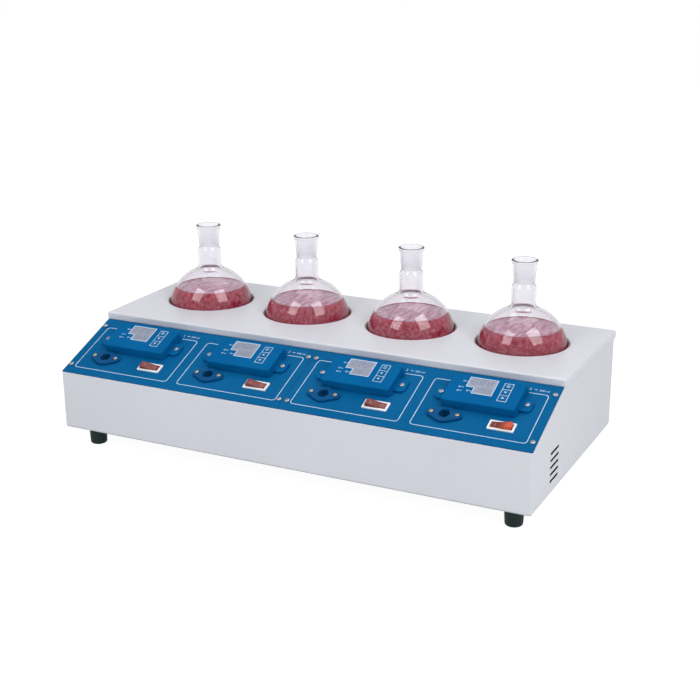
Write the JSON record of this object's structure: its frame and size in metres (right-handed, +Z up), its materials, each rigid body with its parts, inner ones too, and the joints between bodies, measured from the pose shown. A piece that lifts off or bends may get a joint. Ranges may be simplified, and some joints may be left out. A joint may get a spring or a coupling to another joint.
{
  "type": "multi-place heating mantle",
  "caption": "Bench heating mantle: sheet-steel case with sloped control panel, woven nests for round-bottom flasks, and a digital controller, sensor socket and rocker switch for each.",
  "frame": {"origin": "on the bench, under the middle of the whole object", "axes": "+X to the user's right along the longest side, +Y from the control panel to the back, +Z up out of the wells"},
  "size_m": [0.5922, 0.296, 0.2406],
  "materials": {
    "case_paint": "fine satin powder coat, near white",
    "cover_paint": "fine satin powder coat, near white",
    "base_steel": "plain light grey paint",
    "panel_blue": "satin blue film on sheet",
    "housing_blue": "moulded, satin blue",
    "display_film": "printed window with unlit digits",
    "key_blue": "soft satin keys with pale printed edges",
    "socket_blue": "moulded, satin dark blue",
    "contact_brass": "turned pins",
    "switch_white": "moulded white bezel",
    "rocker_red": "translucent red",
    "board_green": "circuit board",
    "glass_cloth": "knitted glass yarn with the heating wire knitted in",
    "wool": "packed mineral wool",
    "can_steel": "plain sheet",
    "flask_glass": "clear borosilicate glass",
    "pink_liquid": "clear pink liquid",
    "foot_rubber": "moulded black rubber",
    "inlet_black": "moulded black",
    "strip_white": "moulded terminal block",
    "screw_chrome": "plated pan-head screws",
    "screw_brass": "small brass pan-head screws"
  },
  "bodies": {
    "mantle": {"lower_case": "case_paint", "base_plate": "base_steel", "top_cover": "cover_paint", "panel_left": "panel_blue", "panel_right": "panel_blue", "socket_contacts": "contact_brass", "controller_boards": "board_green", "nest_insulation": "wool", "nest_cans": "can_steel", "rubber_feet": "foot_rubber", "power_inlet": "inlet_black", "terminal_strip": "strip_white", "panel_screws": "screw_chrome", "case_screws": "screw_chrome", "socket_screws": "screw_brass", "controller_case_1": "housing_blue", "display_window_1": "display_film", "sensor_socket_1": "socket_blue", "switch_body_1": "switch_white", "nest_1": "glass_cloth", "controller_case_2": "housing_blue", "display_window_2": "display_film", "sensor_socket_2": "socket_blue", "switch_body_2": "switch_white", "nest_2": "glass_cloth", "controller_case_3": "housing_blue", "display_window_3": "display_film", "sensor_socket_3": "socket_blue", "switch_body_3": "switch_white", "nest_3": "glass_cloth", "controller_case_4": "housing_blue", "display_window_4": "display_film", "sensor_socket_4": "socket_blue", "switch_body_4": "switch_white", "nest_4": "glass_cloth"},
    "rocker_1": {"rocker_1": "rocker_red"},
    "key_set_1": {"key_set_1": "key_blue"},
    "key_down_1": {"key_down_1": "key_blue"},
    "key_up_1": {"key_up_1": "key_blue"},
    "filled_flask_1": {"flask_1": "flask_glass", "liquid_1": "pink_liquid"},
    "rocker_2": {"rocker_2": "rocker_red"},
    "key_set_2": {"key_set_2": "key_blue"},
    "key_down_2": {"key_down_2": "key_blue"},
    "key_up_2": {"key_up_2": "key_blue"},
    "filled_flask_2": {"flask_2": "flask_glass", "liquid_2": "pink_liquid"},
    "rocker_3": {"rocker_3": "rocker_red"},
    "key_set_3": {"key_set_3": "key_blue"},
    "key_down_3": {"key_down_3": "key_blue"},
    "key_up_3": {"key_up_3": "key_blue"},
    "filled_flask_3": {"flask_3": "flask_glass", "liquid_3": "pink_liquid"},
    "rocker_4": {"rocker_4": "rocker_red"},
    "key_set_4": {"key_set_4": "key_blue"},
    "key_down_4": {"key_down_4": "key_blue"},
    "key_up_4": {"key_up_4": "key_blue"},
    "filled_flask_4": {"flask_4": "flask_glass", "liquid_4": "pink_liquid"},
    "fuse_drawer": {"fuse_drawer": "inlet_black"}
  },
  "joints": [
    {"name": "rocker_1_tilt", "type": "hinge", "parent": "mantle", "child": "rocker_1", "pos_m": [-0.186, -0.12056, 0.10797], "axis": [0, -0.9314, -0.364], "range_deg": [0, 22]},
    {"name": "key_set_1_press", "type": "slide", "parent": "mantle", "child": "key_set_1", "axis": [0, 0.364, -0.9314], "range_m": [0, 0.0005], "stiffness_N_per_m": 400, "springref_m": -0.0005},
    {"name": "key_down_1_press", "type": "slide", "parent": "mantle", "child": "key_down_1", "axis": [0, 0.364, -0.9314], "range_m": [0, 0.0005], "stiffness_N_per_m": 400, "springref_m": -0.0005},
    {"name": "key_up_1_press", "type": "slide", "parent": "mantle", "child": "key_up_1", "axis": [0, 0.364, -0.9314], "range_m": [0, 0.0005], "stiffness_N_per_m": 400, "springref_m": -0.0005},
    {"name": "flask_1_lift", "type": "slide", "parent": "mantle", "child": "filled_flask_1", "axis": [0, 0, 1], "range_m": [0, 0.11]},
    {"name": "rocker_2_tilt", "type": "hinge", "parent": "mantle", "child": "rocker_2", "pos_m": [-0.0423, -0.12056, 0.10797], "axis": [0, -0.9314, -0.364], "range_deg": [0, 22]},
    {"name": "key_set_2_press", "type": "slide", "parent": "mantle", "child": "key_set_2", "axis": [0, 0.364, -0.9314], "range_m": [0, 0.0005], "stiffness_N_per_m": 400, "springref_m": -0.0005},
    {"name": "key_down_2_press", "type": "slide", "parent": "mantle", "child": "key_down_2", "axis": [0, 0.364, -0.9314], "range_m": [0, 0.0005], "stiffness_N_per_m": 400, "springref_m": -0.0005},
    {"name": "key_up_2_press", "type": "slide", "parent": "mantle", "child": "key_up_2", "axis": [0, 0.364, -0.9314], "range_m": [0, 0.0005], "stiffness_N_per_m": 400, "springref_m": -0.0005},
    {"name": "flask_2_lift", "type": "slide", "parent": "mantle", "child": "filled_flask_2", "axis": [0, 0, 1], "range_m": [0, 0.11]},
    {"name": "rocker_3_tilt", "type": "hinge", "parent": "mantle", "child": "rocker_3", "pos_m": [0.1069, -0.12056, 0.10797], "axis": [0, -0.9314, -0.364], "range_deg": [0, 22]},
    {"name": "key_set_3_press", "type": "slide", "parent": "mantle", "child": "key_set_3", "axis": [0, 0.364, -0.9314], "range_m": [0, 0.0005], "stiffness_N_per_m": 400, "springref_m": -0.0005},
    {"name": "key_down_3_press", "type": "slide", "parent": "mantle", "child": "key_down_3", "axis": [0, 0.364, -0.9314], "range_m": [0, 0.0005], "stiffness_N_per_m": 400, "springref_m": -0.0005},
    {"name": "key_up_3_press", "type": "slide", "parent": "mantle", "child": "key_up_3", "axis": [0, 0.364, -0.9314], "range_m": [0, 0.0005], "stiffness_N_per_m": 400, "springref_m": -0.0005},
    {"name": "flask_3_lift", "type": "slide", "parent": "mantle", "child": "filled_flask_3", "axis": [0, 0, 1], "range_m": [0, 0.11]},
    {"name": "rocker_4_tilt", "type": "hinge", "parent": "mantle", "child": "rocker_4", "pos_m": [0.2506, -0.12056, 0.10797], "axis": [0, 0.9314, 0.364], "range_deg": [0, 22]},
    {"name": "key_set_4_press", "type": "slide", "parent": "mantle", "child": "key_set_4", "axis": [0, 0.364, -0.9314], "range_m": [0, 0.0005], "stiffness_N_per_m": 400, "springref_m": -0.0005},
    {"name": "key_down_4_press", "type": "slide", "parent": "mantle", "child": "key_down_4", "axis": [0, 0.364, -0.9314], "range_m": [0, 0.0005], "stiffness_N_per_m": 400, "springref_m": -0.0005},
    {"name": "key_up_4_press", "type": "slide", "parent": "mantle", "child": "key_up_4", "axis": [0, 0.364, -0.9314], "range_m": [0, 0.0005], "stiffness_N_per_m": 400, "springref_m": -0.0005},
    {"name": "flask_4_lift", "type": "slide", "parent": "mantle", "child": "filled_flask_4", "axis": [0, 0, 1], "range_m": [0, 0.11]},
    {"name": "fuse_drawer_slide", "type": "slide", "parent": "mantle", "child": "fuse_drawer", "axis": [0, 1, 0], "range_m": [0, 0.018]}
  ]
}
